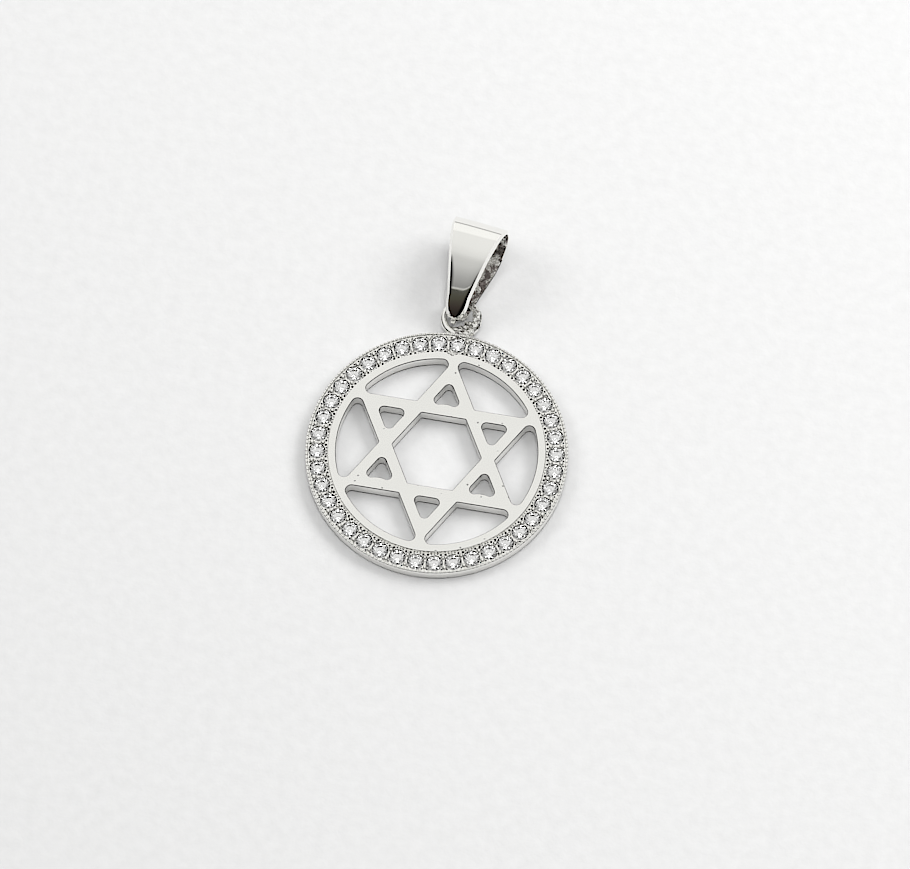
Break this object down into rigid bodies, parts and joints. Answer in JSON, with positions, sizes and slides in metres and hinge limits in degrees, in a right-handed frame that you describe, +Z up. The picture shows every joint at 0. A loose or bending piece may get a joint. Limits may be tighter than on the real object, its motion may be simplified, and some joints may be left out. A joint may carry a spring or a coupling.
{
  "type": "star of david pendant",
  "caption": "Round pierced pendant with a star of David, a border of small set stones, a soldered loop and a loose tapered bail that takes a chain.",
  "frame": {"origin": "on the surface that the pendant lies on, under the middle of its overall length and width", "axes": "+Z up out of the star's face, +Y along the star's axis towards the bail, +X to the right"},
  "size_m": [0.02, 0.0288, 0.0052],
  "materials": {
    "cast_metal": "polished white metal, lightly uneven as cast",
    "strap_metal": "mirror-polished white metal strap",
    "stone": "clear brilliant-cut stone"
  },
  "bodies": {
    "root": {"medallion": "cast_metal", "bail": "strap_metal", "stone_01": "stone", "stone_02": "stone", "stone_03": "stone", "stone_04": "stone", "stone_05": "stone", "stone_06": "stone", "stone_07": "stone", "stone_08": "stone", "stone_09": "stone", "stone_10": "stone", "stone_11": "stone", "stone_12": "stone", "stone_13": "stone", "stone_14": "stone", "stone_15": "stone", "stone_16": "stone", "stone_17": "stone", "stone_18": "stone", "stone_19": "stone", "stone_20": "stone", "stone_21": "stone", "stone_22": "stone", "stone_23": "stone", "stone_24": "stone", "stone_25": "stone", "stone_26": "stone", "stone_27": "stone", "stone_28": "stone", "stone_29": "stone", "stone_30": "stone", "stone_31": "stone", "stone_32": "stone", "stone_33": "stone", "stone_34": "stone", "stone_35": "stone", "stone_36": "stone", "stone_37": "stone", "stone_38": "stone", "stone_39": "stone", "stone_40": "stone"}
  },
  "joints": []
}
